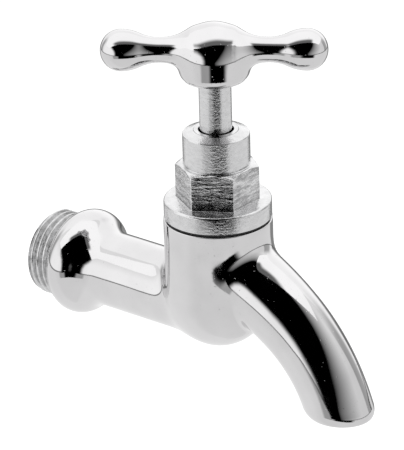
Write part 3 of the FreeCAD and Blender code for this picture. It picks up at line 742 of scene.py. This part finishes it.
def hexagon_turns():
    """Angles round the bonnet, close together at the hexagon's corners."""
    half_side = [0.0, 0.6, 1.2, 1.8, 2.6, 4, 6, 9, 12, 16, 20, 25, 30]
    side = half_side + [60 - share for share in half_side[-2:0:-1]]
    return [math.radians(number * 60 + share) + math.radians(HEX_ANGLE)
            for number in range(6) for share in side]


def flange_outline():
    """From under the flange round its edge to its top."""
    low, high = FLANGE
    edge = 0.56
    outline = [(FLANGE_INNER, low), (FLANGE_RADIUS - 0.12, low),
               (FLANGE_RADIUS, low + 0.12), (FLANGE_RADIUS, high - edge)]
    return outline + [(FLANGE_RADIUS - inwards, high - edge + onwards)
                      for inwards, onwards in rounded_corner(edge, 5)]


def hexagon_outline(reach):
    """From the flange up the hexagon's side, where it is this far out, to the neck."""
    foot, half = FLANGE[1], HEX_FLATS / 2
    fall = math.tan(math.radians(HEX_CHAMFER))
    top = HEX_TOP - (reach - half) * fall
    return [(reach + 0.25, foot), (reach + 0.07, foot + 0.07), (reach, foot + 0.25),
            (reach, top - 0.16), (reach - 0.03, top - 0.03),
            (max(reach - 0.14, half - 0.08), top + 0.06), (half + 0.1, HEX_TOP - 0.1 * fall),
            (half - 0.08, HEX_TOP), (NECK_RADIUS + 0.1, HEX_TOP)]


def neck_outline():
    """From the hexagon's top up the neck, over its cone and down into the packing box."""
    cone = NECK_TOP - NECK_CONE_DROP
    return [(NECK_RADIUS, HEX_TOP + 0.1), (NECK_RADIUS, cone - 0.12),
            (NECK_RADIUS - 0.08, cone + 0.04), (NECK_CONE_RADIUS + 0.08, NECK_TOP - 0.04),
            (NECK_CONE_RADIUS - 0.03, NECK_TOP), (PACKING_BOX_RADIUS + 0.06, NECK_TOP),
            (PACKING_BOX_RADIUS, NECK_TOP - 0.06), (PACKING_BOX_RADIUS, PACKING_BOX_SEEN)]


def bonnet_mesh():
    """Flange, spanner hexagon with turned chamfer, neck with its cone, and the packing box."""
    angles = hexagon_turns()
    points = turned_points(flange_outline(), angles, "z", (BARREL_X, 0))
    sides = [hexagon_outline(hexagon_reach(turn)) for turn in angles]
    for row in zip(*sides):
        points += [(BARREL_X + radius * math.cos(turn), radius * math.sin(turn), z)
                   for turn, (radius, z) in zip(angles, row)]
    points += turned_points(neck_outline(), angles, "z", (BARREL_X, 0))
    mesh = make_mesh("bonnet", points, grid_faces(len(points) // len(angles), len(angles)))
    tidy(mesh)
    return mesh


def on_a_flat(face):
    """Whether a face of the bonnet lies on the hexagon's sides."""
    middle = face.center / METRE
    out = math.hypot(middle.x - BARREL_X, middle.y)
    return FLANGE[1] < middle.z < HEX_TOP and out > NECK_RADIUS + 0.4 and abs(face.normal.z) < 0.3


def gasket_mesh():
    """A flat ring with rounded outer edges."""
    low, high = GASKET
    edge = 0.15
    middle = GASKET_RADIUS - edge
    outline = [(GASKET_INNER, low), (middle, low)]
    outline += [(middle + edge * math.sin(turn), low + edge - edge * math.cos(turn))
                for turn in np.linspace(0.4, math.pi / 2, 4)]
    outline += [(middle + edge * math.cos(turn), high - edge + edge * math.sin(turn))
                for turn in np.linspace(0, math.pi / 2 - 0.4, 4)]
    outline += [(middle, high), (GASKET_INNER, high), (GASKET_INNER, low)]
    turns = even_turns(160)
    mesh = make_mesh("gasket", turned_points(outline, turns, "z", (BARREL_X, 0)),
                     grid_faces(len(outline), len(turns)))
    tidy(mesh)
    return mesh


# Materials

class Finish:
    """A material in the making: its shader, and the nodes that feed it. Sizes are millimetres."""

    def __init__(self, name, **sockets):
        self.material = bpy.data.materials.new(name)
        self.material.use_nodes = True
        self.nodes = self.material.node_tree.nodes
        self.links = self.material.node_tree.links
        self.shader = self.nodes["Principled BSDF"]
        self.place = self.nodes.new("ShaderNodeTexCoord").outputs["Object"]
        for socket, value in sockets.items():
            self.shader.inputs[socket.replace("_", " ")].default_value = value
        self.bump_above = None

    def stretched(self, scale):
        """The object's own place, scaled about the barrel's axis."""
        mapping = self.nodes.new("ShaderNodeMapping")
        mapping.inputs["Location"].default_value = (-BARREL_X * METRE * scale[0], 0, 0)
        mapping.inputs["Scale"].default_value = scale
        self.links.new(self.place, mapping.inputs["Vector"])
        return mapping.outputs["Vector"]

    def noise(self, size, detail=3, stretch=(1, 1, 1), roughness=0.5):
        """Noise whose features are about this many millimetres across."""
        texture = self.nodes.new("ShaderNodeTexNoise")
        texture.inputs["Scale"].default_value = 1 / (size * METRE)
        texture.inputs["Detail"].default_value = detail
        texture.inputs["Roughness"].default_value = roughness
        self.links.new(self.stretched(stretch), texture.inputs["Vector"])
        return texture.outputs["Fac"]

    def ranged(self, value, low, high, to_low, to_high):
        change = self.nodes.new("ShaderNodeMapRange")
        for socket, number in zip(("From Min", "From Max", "To Min", "To Max"),
                                  (low, high, to_low, to_high)):
            change.inputs[socket].default_value = number
        self.links.new(value, change.inputs["Value"])
        return change.outputs["Result"]

    def rough(self, value):
        self.links.new(value, self.shader.inputs["Roughness"])

    def coloured(self, value, first, second):
        mix = self.nodes.new("ShaderNodeMix")
        mix.data_type = "RGBA"
        mix.inputs["A"].default_value = (*first, 1)
        mix.inputs["B"].default_value = (*second, 1)
        self.links.new(value, mix.inputs["Factor"])
        self.links.new(mix.outputs["Result"], self.shader.inputs["Base Color"])

    def bumped(self, value, depth):
        """Raise the surface by up to this many millimetres, on top of earlier bumps."""
        bump = self.nodes.new("ShaderNodeBump")
        bump.inputs["Distance"].default_value = depth * METRE
        self.links.new(value, bump.inputs["Height"])
        if self.bump_above is not None:
            self.links.new(self.bump_above, bump.inputs["Normal"])
        self.links.new(bump.outputs["Normal"], self.shader.inputs["Normal"])
        self.bump_above = bump.outputs["Normal"]


def chrome():
    """Bright plate over a hand-polished casting: soft waves, faint haze and a few pinholes."""
    finish = Finish("polished_plate", Metallic=1.0, Roughness=0.05)
    haze = finish.noise(9, 4)
    finish.coloured(finish.ranged(haze, 0.35, 0.7, 0, 1),
                    (0.655, 0.65, 0.655), (0.605, 0.60, 0.605))
    finish.rough(finish.ranged(finish.noise(3.5, 5), 0.4, 0.75, 0.03, 0.1))
    finish.bumped(finish.noise(11, 1), 0.10)
    finish.bumped(finish.noise(2.2, 2), 0.006)
    pits = finish.ranged(finish.noise(0.55, 1), 0.74, 0.80, 1, 0)
    finish.bumped(pits, 0.02)
    return finish.material


def worn_plate():
    """Duller plate on the thread, dark where the cutter left its marks."""
    finish = Finish("thread_plate", Metallic=1.0, Roughness=0.25)
    finish.coloured(finish.ranged(finish.noise(1.1, 4), 0.35, 0.7, 0, 1),
                    (0.66, 0.66, 0.665), (0.45, 0.45, 0.45))
    finish.rough(finish.ranged(finish.noise(0.8, 4), 0.3, 0.7, 0.08, 0.22))
    finish.bumped(finish.noise(0.9, 3, (5, 1, 1)), 0.03)
    return finish.material


def machined():
    """Plate over turned brass: fine grain that runs round, over slow waves of the cutter."""
    finish = Finish("satin_plate", Metallic=1.0, Roughness=0.2)
    finish.coloured(finish.ranged(finish.noise(1.6, 4, (1, 1, 2)), 0.35, 0.7, 0, 1),
                    (0.66, 0.66, 0.665), (0.58, 0.58, 0.585))
    finish.rough(finish.ranged(finish.noise(1.1, 4), 0.3, 0.7, 0.07, 0.17))
    finish.bumped(finish.noise(2.2, 2, (1, 1, 5)), 0.02)
    finish.bumped(finish.noise(0.75, 4, (1, 1, 1.4), 0.65), 0.06)
    finish.bumped(finish.noise(0.42, 2), 0.02)
    return finish.material


def milled():
    """Plate over milled flats: dense wavy lines across each flat."""
    finish = Finish("milled_plate", Metallic=1.0, Roughness=0.2)
    lines = finish.noise(3.4, 3, (1, 1, 4.6), 0.6)
    finish.coloured(finish.ranged(lines, 0.38, 0.6, 0, 1), (0.36, 0.36, 0.365), (0.72, 0.72, 0.725))
    finish.rough(finish.ranged(finish.noise(0.7, 4, (1, 1, 3)), 0.3, 0.7, 0.12, 0.28))
    finish.bumped(lines, 0.45)
    finish.bumped(finish.noise(0.35, 2, (1, 1, 2)), 0.012)
    return finish.material


def rubber():
    """Black rubber with a dull, uneven skin."""
    finish = Finish("sealing_rubber", Roughness=0.6)
    finish.coloured(finish.noise(0.8, 3), (0.012, 0.012, 0.013), (0.03, 0.03, 0.03))
    finish.rough(finish.ranged(finish.noise(0.4, 3), 0.3, 0.7, 0.45, 0.75))
    finish.bumped(finish.noise(0.3, 3), 0.02)
    return finish.material


def brass():
    """Turned brass without plate, with faint rings from the cutter."""
    finish = Finish("bare_brass", Metallic=1.0, Roughness=0.3)
    finish.coloured(finish.noise(2, 4), (0.80, 0.60, 0.30), (0.62, 0.43, 0.19))
    finish.rough(finish.ranged(finish.noise(0.8, 4), 0.3, 0.7, 0.2, 0.45))
    finish.bumped(finish.noise(2.5, 2, (1, 1, 10)), 0.03)
    return finish.material


def graphite():
    """Pressed packing, dark and slightly greasy."""
    finish = Finish("graphite_packing", Roughness=0.5, Metallic=0.2)
    finish.coloured(finish.noise(0.5, 4), (0.03, 0.03, 0.032), (0.09, 0.09, 0.095))
    finish.rough(finish.ranged(finish.noise(0.5, 4), 0.3, 0.7, 0.35, 0.6))
    finish.bumped(finish.noise(0.5, 4), 0.05)
    return finish.material


def steel():
    """Drawn steel of the clip and the grub screw."""
    finish = Finish("spring_steel", Metallic=1.0, Roughness=0.25)
    finish.coloured(finish.noise(1, 3), (0.52, 0.52, 0.53), (0.38, 0.38, 0.39))
    finish.rough(finish.ranged(finish.noise(0.5, 3), 0.3, 0.7, 0.15, 0.35))
    finish.bumped(finish.noise(0.4, 2), 0.01)
    return finish.material


# Pieces

def piece(name, mesh, material, body, slot, *replaced):
    """Show a mesh as a piece that rides on a body, in place of the CAD nodes that it replaces."""
    item = bpy.data.objects.new(name, mesh)
    bpy.context.scene.collection.objects.link(item)
    mesh.materials.clear()
    mesh.materials.append(material)
    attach(item, body)
    if replaced:
        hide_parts(*replaced)
    return item


def smooth_by_angle(mesh, degrees=30):
    mesh.polygons.foreach_set("use_smooth", np.ones(len(mesh.polygons), dtype=bool))
    mesh.set_sharp_from_angle(angle=math.radians(degrees))


def dress(material, *names):
    """Give CAD nodes that stay a material."""
    for name in names:
        mesh = nodes[name].data
        mesh.materials.clear()
        mesh.materials.append(material)


# Stage

def eased(value, low, high):
    """0 below low, 1 above high, and an even curve between them."""
    share = np.clip((value - low) / (high - low), 0, 1)
    return share * share * (3 - 2 * share)


def glow_material(name):
    """A material that shines as its mesh's light attribute says, and reflects nothing."""
    material = bpy.data.materials.new(name)
    material.use_nodes = True
    shader = material.node_tree.nodes["Principled BSDF"]
    shader.inputs["Base Color"].default_value = (0, 0, 0, 1)
    shader.inputs["Specular IOR Level"].default_value = 0.0
    shader.inputs["Emission Color"].default_value = (1, 1, 1, 1)
    light = material.node_tree.nodes.new("ShaderNodeAttribute")
    light.attribute_name = "light"
    material.node_tree.links.new(light.outputs["Fac"], shader.inputs["Emission Strength"])
    return material


def screen(name, points, faces, light):
    """A stage sheet that only reflections see, with its brightness given at each point."""
    mesh = make_mesh(name, points, faces)
    shades = mesh.attributes.new("light", "FLOAT", "POINT").data
    shades.foreach_set("value", np.array(light, dtype=float))
    mesh.materials.append(glow_material(name))
    item = bpy.data.objects.new(name, mesh)
    bpy.context.scene.collection.objects.link(item)
    item.visible_camera = False
    item.visible_diffuse = False
    item.visible_shadow = False
    item.visible_transmission = False
    item.visible_volume_scatter = False


def from_behind(azimuth):
    """1 on the side away from the camera, 0 elsewhere."""
    return eased(np.abs(azimuth - FRONT), 130, 160)


def paper_walls(azimuth, elevation):
    """Brightness of the walls: their own low down, even light higher up, shade at the rear."""
    low = np.interp(azimuth, *zip(*LOW_WALLS))
    high = np.where(np.abs(azimuth - FRONT) < 120, 1.08, 1.3)
    level = low + (high - low) * eased(elevation, 14, 38)
    level = level + (PAPER - level) * eased(elevation, 58, 76)
    return level * (1 - 0.8 * from_behind(azimuth) * (1 - eased(elevation, -4, 6)))


def beside_opening(azimuth, elevation):
    """0 in the dark opening in front, which widens as it rises, and 1 on the walls beside it."""
    heights = (4, 15, 24, 34)
    edge = np.interp(elevation, heights, (4, -2, -16, -31))
    softness = np.interp(elevation, heights, (7, 9, 13, 4))
    left = 1 - eased(azimuth, edge - softness, edge + softness)
    right = np.clip((azimuth - FRONT - np.clip(elevation, 0, 75) * 0.9) / 66, 0, 1) ** 0.8
    return np.maximum(left, right)


def table_light(azimuth, distance):
    """Brightness of the table: even, but dark beyond its front edge and in shade at the rear."""
    beyond = eased(distance, 394, 410)
    front = 0.5 * eased(azimuth, -10, -2) + 0.5 * eased(azimuth, 17, 27)
    front = front * (1 - eased(azimuth, 68, 84))
    behind = from_behind(azimuth) * eased(distance, 240, 340)
    plain = 0.93 + 0.07 * eased(-azimuth, 10, 40)
    return plain * (1 - beyond * front) * (1 - 0.7 * behind)


def in_studio(azimuth, distance, level):
    angle = math.radians(azimuth)
    return (STUDIO_CENTRE[0] + distance * math.sin(angle),
            STUDIO_CENTRE[1] - distance * math.cos(angle), level)


def studio():
    """The walls, a big dome round the object, and the table under it."""
    turns = np.arange(-180, 180, 2.5)
    rises = np.concatenate([[-10.9, -8.4, -7.6, -7, -6, -4, -2], np.arange(0, 91, 3)])
    rings = np.concatenate([np.arange(0.01, 380, 40), np.arange(381, 420, 4),
                            np.arange(440, 980, 60)])
    points, light = [], []
    for rise in rises:
        angle = math.radians(rise)
        out, up = STUDIO_RADIUS * math.cos(angle), STUDIO_RADIUS * math.sin(angle)
        points += [in_studio(turn, out, STUDIO_CENTRE[2] + up) for turn in turns]
        foot = np.interp(rise, (-8.4, -7.6), (0.25, 1))
        light += list(paper_walls(turns, rise) * beside_opening(turns, rise) * foot)
    for ring in rings:
        points += [in_studio(turn, ring, TABLE_LEVEL) for turn in turns]
        light += list(table_light(turns, ring))
    dome = grid_faces(len(rises), len(turns))
    table = grid_faces(len(rings), len(turns), start=len(rises) * len(turns))
    screen("studio", points, dome + table, light)


def ceiling():
    """White paper over the object, in shade towards its front edge, which runs across the view."""
    turn = math.radians(45)
    rows = np.concatenate([[-20, 20, 40], np.arange(44, 80, 3)])
    columns = np.arange(-170, 171, 6)
    points, light = [], []
    for row in rows:
        for column in columns:
            points.append((row * math.sin(turn) + column * math.cos(turn),
                           column * math.sin(turn) - row * math.cos(turn), CEILING_LEVEL))
            shade = eased(row, 44, 62) * (1 - eased(column, 72, 90)) * (1 - eased(-column, 25, 62))
            light.append(PAPER * (1 - 0.88 * shade))
    screen("ceiling", points, grid_faces(len(rows), len(columns), closed=False), light)


def floor():
    """A pale floor that shows white to the camera and keeps the object's shadow."""
    material = bpy.data.materials.new("floor")
    material.use_nodes = True
    tree = material.node_tree
    shader = tree.nodes["Principled BSDF"]
    shader.inputs["Base Color"].default_value = (0.45, 0.45, 0.45, 1)
    shader.inputs["Roughness"].default_value = 0.9
    shader.inputs["Specular IOR Level"].default_value = 0.0
    shader.inputs["Emission Color"].default_value = (1, 1, 1, 1)
    path = tree.nodes.new("ShaderNodeLightPath")
    amount = tree.nodes.new("ShaderNodeMath")
    amount.operation = "MULTIPLY"
    tree.links.new(path.outputs["Is Camera Ray"], amount.inputs[0])
    amount.inputs[1].default_value = FLOOR_GLOW
    tree.links.new(amount.outputs["Value"], shader.inputs["Emission Strength"])
    (left, near), (right, far) = (-790, -700), (910, 1000)
    corners = [(left, near), (right, near), (right, far), (left, far)]
    mesh = make_mesh("floor", [(x, y, FLOOR_LEVEL) for x, y in corners], [(0, 1, 2, 3)])
    mesh.materials.append(material)
    item = bpy.data.objects.new("floor", mesh)
    bpy.context.scene.collection.objects.link(item)
    item.visible_glossy = False


def world():
    """Soft light from all round, and plain white behind the floor."""
    room = bpy.data.worlds.new("room")
    bpy.context.scene.world = room
    room.use_nodes = True
    tree = room.node_tree
    background = tree.nodes["Background"]
    background.inputs["Color"].default_value = (1, 1, 1, 1)
    path = tree.nodes.new("ShaderNodeLightPath")
    strength = tree.nodes.new("ShaderNodeMath")
    strength.operation = "MULTIPLY_ADD"
    strength.inputs[1].default_value = 1 - ROOM_LIGHT
    strength.inputs[2].default_value = ROOM_LIGHT
    tree.links.new(path.outputs["Is Camera Ray"], strength.inputs[0])
    tree.links.new(strength.outputs["Value"], background.inputs["Strength"])


def lamp(name, place, target, size, energy):
    """A square lamp that lights but isn't reflected."""
    light = bpy.data.lights.new(name, "AREA")
    light.size = size * METRE
    light.energy = energy
    item = bpy.data.objects.new(name, light)
    bpy.context.scene.collection.objects.link(item)
    item.location = Vector(place) * METRE
    item.rotation_euler = (Vector(target) - Vector(place)).to_track_quat("-Z", "Y").to_euler()
    item.visible_glossy = False


def camera():
    """The photograph's view. The lens goes by the image's height, its longer side."""
    around, up, roll = (math.radians(angle)
                        for angle in (CAMERA_AZIMUTH, CAMERA_ELEVATION, CAMERA_ROLL))
    back = Vector((math.sin(around) * math.cos(up), -math.cos(around) * math.cos(up), math.sin(up)))
    right = Vector((math.cos(around), math.sin(around), 0))
    above = back.cross(right)
    across = right * math.cos(roll) - above * math.sin(roll)
    upright = right * math.sin(roll) + above * math.cos(roll)
    place = Vector(CAMERA_TARGET) + back * CAMERA_DISTANCE
    (width, height), (column, row) = IMAGE_SIZE, TARGET_IN_IMAGE
    shift = across * (width / 2 - column) + upright * (row - height / 2)
    middle = Vector(CAMERA_TARGET) + shift / PIXELS_PER_MM
    behind = (place - middle).normalized()
    side = (across - behind * across.dot(behind)).normalized()
    data = bpy.data.cameras.new("camera")
    data.sensor_width = 36
    data.lens = PIXELS_PER_MM * CAMERA_DISTANCE * data.sensor_width / height
    data.clip_start = 0.01
    item = bpy.data.objects.new("camera", data)
    bpy.context.scene.collection.objects.link(item)
    turned = Matrix((side, behind.cross(side), behind)).transposed().to_4x4()
    item.matrix_world = Matrix.Translation(place * METRE) @ turned
    bpy.context.scene.camera = item


def build_pieces():
    """Draw the pieces that replace CAD nodes, and dress the nodes that stay."""
    plate = chrome()
    satin = machined()
    casting = casting_mesh()
    polished(casting, casting_field)
    piece("casting_shell", casting, plate, "casting", "polished_plate", "tap_body")
    thread = thread_mesh()
    smooth_by_angle(thread, 40)
    piece("inlet_thread", thread, worn_plate(), "casting", "polished_plate")
    handle = handle_mesh()
    polished(handle, handle_field)
    piece("handle_bar", handle, plate, "spindle_and_handle", "polished_plate", "handle")
    bonnet = bonnet_mesh()
    smooth_by_angle(bonnet, 25)
    shell = piece("bonnet_shell", bonnet, satin, "casting", "satin_plate", "bonnet")
    shell.data.materials.append(milled())
    for face in shell.data.polygons:
        face.material_index = 1 if on_a_flat(face) else 0
    gasket = gasket_mesh()
    smooth_by_angle(gasket)
    piece("gasket_ring", gasket, rubber(), "casting", "sealing_rubber", "bonnet_gasket")
    dress(satin, "gland_nut", "spindle", "gland_follower")
    dress(brass(), "valve_seat", "jumper", "washer_nut", "backing_washer", "packing_washer")
    dress(bpy.data.materials["sealing_rubber"], "seat_washer")
    dress(graphite(), "packing_ring_lower", "packing_ring_middle", "packing_ring_upper")
    dress(steel(), "jumper_clip", "grub_screw")


build_pieces()
floor()
world()
studio()
ceiling()
lamp("key", (-150, -350, 600), target=(45, 0, 20), size=500, energy=6)
lamp("fill", (400, -200, 350), target=(45, 0, 20), size=400, energy=2)
camera()
bpy.context.scene.view_settings.view_transform = "Standard"
